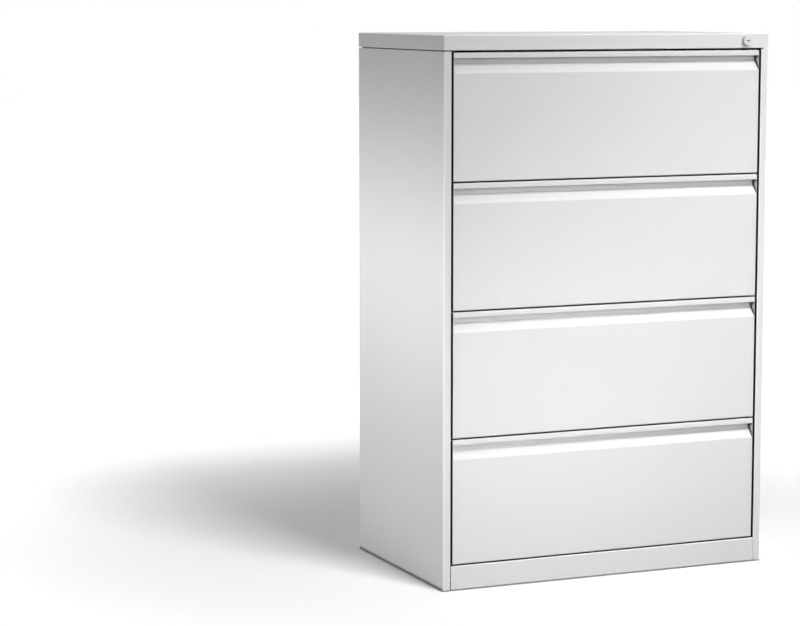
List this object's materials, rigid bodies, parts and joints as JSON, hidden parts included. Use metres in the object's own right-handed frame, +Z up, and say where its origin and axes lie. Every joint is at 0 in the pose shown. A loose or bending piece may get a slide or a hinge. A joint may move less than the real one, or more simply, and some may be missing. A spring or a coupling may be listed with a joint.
{
  "type": "filing cabinet",
  "caption": "Free-standing steel filing cabinet with full-width grip-front drawers on telescopic slides and a central lock in the top apron.",
  "frame": {"origin": "on the floor under the middle of the cabinet's box, lock collar included", "axes": "+Z up; -Y is the drawer front; +X is to the right seen from the front"},
  "size_m": [0.898, 0.552, 1.357],
  "materials": {
    "grey_coat": "light grey powder coat, fine texture, satin",
    "drawer_coat": "light grey powder coat, thinner inside coat, satin",
    "zinc_steel": "bright zinc plated",
    "lock_metal": "satin nickel",
    "cage_plastic": "natural acetal",
    "guide_plastic": "black nylon",
    "foot_plastic": "black polyamide"
  },
  "bodies": {
    "carcass": {"top_cover": "grey_coat", "cap_front_rail": "zinc_steel", "right_side_panel": "grey_coat", "left_side_panel": "grey_coat", "back_panel": "grey_coat", "base_pan": "grey_coat", "front_plinth": "grey_coat", "upright_front_right": "grey_coat", "upright_front_left": "grey_coat", "upright_rear_right": "grey_coat", "upright_rear_left": "grey_coat", "foot_brackets": "zinc_steel", "levelling_feet": "foot_plastic", "lock_housing": "lock_metal", "lock_nut": "lock_metal", "lock_bar_guides": "guide_plastic", "outer_rails_1": "zinc_steel", "outer_rails_2": "zinc_steel", "outer_rails_3": "zinc_steel", "outer_rails_4": "zinc_steel"},
    "drawer_1": {"drawer_front_1": "grey_coat", "drawer_liner_1": "drawer_coat", "drawer_pan_1": "drawer_coat", "centre_rail_1": "drawer_coat", "drawer_catch_1": "zinc_steel", "inner_rails_1": "zinc_steel"},
    "slide_middle_1": {"middle_rails_1": "zinc_steel"},
    "slide_outer_cage_1": {"outer_cages_1": "cage_plastic"},
    "slide_inner_cage_1": {"inner_cages_1": "cage_plastic"},
    "drawer_2": {"drawer_front_2": "grey_coat", "drawer_liner_2": "drawer_coat", "drawer_pan_2": "drawer_coat", "centre_rail_2": "drawer_coat", "drawer_catch_2": "zinc_steel", "inner_rails_2": "zinc_steel"},
    "slide_middle_2": {"middle_rails_2": "zinc_steel"},
    "slide_outer_cage_2": {"outer_cages_2": "cage_plastic"},
    "slide_inner_cage_2": {"inner_cages_2": "cage_plastic"},
    "drawer_3": {"drawer_front_3": "grey_coat", "drawer_liner_3": "drawer_coat", "drawer_pan_3": "drawer_coat", "centre_rail_3": "drawer_coat", "drawer_catch_3": "zinc_steel", "inner_rails_3": "zinc_steel"},
    "slide_middle_3": {"middle_rails_3": "zinc_steel"},
    "slide_outer_cage_3": {"outer_cages_3": "cage_plastic"},
    "slide_inner_cage_3": {"inner_cages_3": "cage_plastic"},
    "drawer_4": {"drawer_front_4": "grey_coat", "drawer_liner_4": "drawer_coat", "drawer_pan_4": "drawer_coat", "centre_rail_4": "drawer_coat", "drawer_catch_4": "zinc_steel", "inner_rails_4": "zinc_steel"},
    "slide_middle_4": {"middle_rails_4": "zinc_steel"},
    "slide_outer_cage_4": {"outer_cages_4": "cage_plastic"},
    "slide_inner_cage_4": {"inner_cages_4": "cage_plastic"},
    "lock_bar": {"lock_bar": "zinc_steel"},
    "lock_cylinder": {"lock_plug": "lock_metal", "lock_cam": "zinc_steel"}
  },
  "joints": [
    {"name": "drawer_1_slide", "type": "slide", "parent": "carcass", "child": "drawer_1", "axis": [0, -1, 0], "range_m": [0, 0.48]},
    {"name": "middle_rails_1_slide", "type": "slide", "parent": "carcass", "child": "slide_middle_1", "axis": [0, -1, 0], "range_m": [0, 0.24]},
    {"name": "outer_cages_1_slide", "type": "slide", "parent": "carcass", "child": "slide_outer_cage_1", "axis": [0, -1, 0], "range_m": [0, 0.12]},
    {"name": "inner_cages_1_slide", "type": "slide", "parent": "carcass", "child": "slide_inner_cage_1", "axis": [0, -1, 0], "range_m": [0, 0.36]},
    {"name": "drawer_2_slide", "type": "slide", "parent": "carcass", "child": "drawer_2", "axis": [0, -1, 0], "range_m": [0, 0.48]},
    {"name": "middle_rails_2_slide", "type": "slide", "parent": "carcass", "child": "slide_middle_2", "axis": [0, -1, 0], "range_m": [0, 0.24]},
    {"name": "outer_cages_2_slide", "type": "slide", "parent": "carcass", "child": "slide_outer_cage_2", "axis": [0, -1, 0], "range_m": [0, 0.12]},
    {"name": "inner_cages_2_slide", "type": "slide", "parent": "carcass", "child": "slide_inner_cage_2", "axis": [0, -1, 0], "range_m": [0, 0.36]},
    {"name": "drawer_3_slide", "type": "slide", "parent": "carcass", "child": "drawer_3", "axis": [0, -1, 0], "range_m": [0, 0.48]},
    {"name": "middle_rails_3_slide", "type": "slide", "parent": "carcass", "child": "slide_middle_3", "axis": [0, -1, 0], "range_m": [0, 0.24]},
    {"name": "outer_cages_3_slide", "type": "slide", "parent": "carcass", "child": "slide_outer_cage_3", "axis": [0, -1, 0], "range_m": [0, 0.12]},
    {"name": "inner_cages_3_slide", "type": "slide", "parent": "carcass", "child": "slide_inner_cage_3", "axis": [0, -1, 0], "range_m": [0, 0.36]},
    {"name": "drawer_4_slide", "type": "slide", "parent": "carcass", "child": "drawer_4", "axis": [0, -1, 0], "range_m": [0, 0.48]},
    {"name": "middle_rails_4_slide", "type": "slide", "parent": "carcass", "child": "slide_middle_4", "axis": [0, -1, 0], "range_m": [0, 0.24]},
    {"name": "outer_cages_4_slide", "type": "slide", "parent": "carcass", "child": "slide_outer_cage_4", "axis": [0, -1, 0], "range_m": [0, 0.12]},
    {"name": "inner_cages_4_slide", "type": "slide", "parent": "carcass", "child": "slide_inner_cage_4", "axis": [0, -1, 0], "range_m": [0, 0.36]},
    {"name": "lock_bar_lift", "type": "slide", "parent": "carcass", "child": "lock_bar", "axis": [0, 0, 1], "range_m": [0, 0.0099]},
    {"name": "lock_turn", "type": "hinge", "parent": "carcass", "child": "lock_cylinder", "pos_m": [0.3825, -0.264, 1.339], "axis": [0, -1, 0], "range_deg": [0, 90]}
  ],
  "couplings": [
    {"joint": "middle_rails_1_slide", "follows": "drawer_1_slide", "ratio": 0.5},
    {"joint": "outer_cages_1_slide", "follows": "drawer_1_slide", "ratio": 0.25},
    {"joint": "inner_cages_1_slide", "follows": "drawer_1_slide", "ratio": 0.75},
    {"joint": "middle_rails_2_slide", "follows": "drawer_2_slide", "ratio": 0.5},
    {"joint": "outer_cages_2_slide", "follows": "drawer_2_slide", "ratio": 0.25},
    {"joint": "inner_cages_2_slide", "follows": "drawer_2_slide", "ratio": 0.75},
    {"joint": "middle_rails_3_slide", "follows": "drawer_3_slide", "ratio": 0.5},
    {"joint": "outer_cages_3_slide", "follows": "drawer_3_slide", "ratio": 0.25},
    {"joint": "inner_cages_3_slide", "follows": "drawer_3_slide", "ratio": 0.75},
    {"joint": "middle_rails_4_slide", "follows": "drawer_4_slide", "ratio": 0.5},
    {"joint": "outer_cages_4_slide", "follows": "drawer_4_slide", "ratio": 0.25},
    {"joint": "inner_cages_4_slide", "follows": "drawer_4_slide", "ratio": 0.75},
    {"joint": "lock_turn", "follows": "lock_bar_lift", "rad_per_m": 158.68}
  ]
}
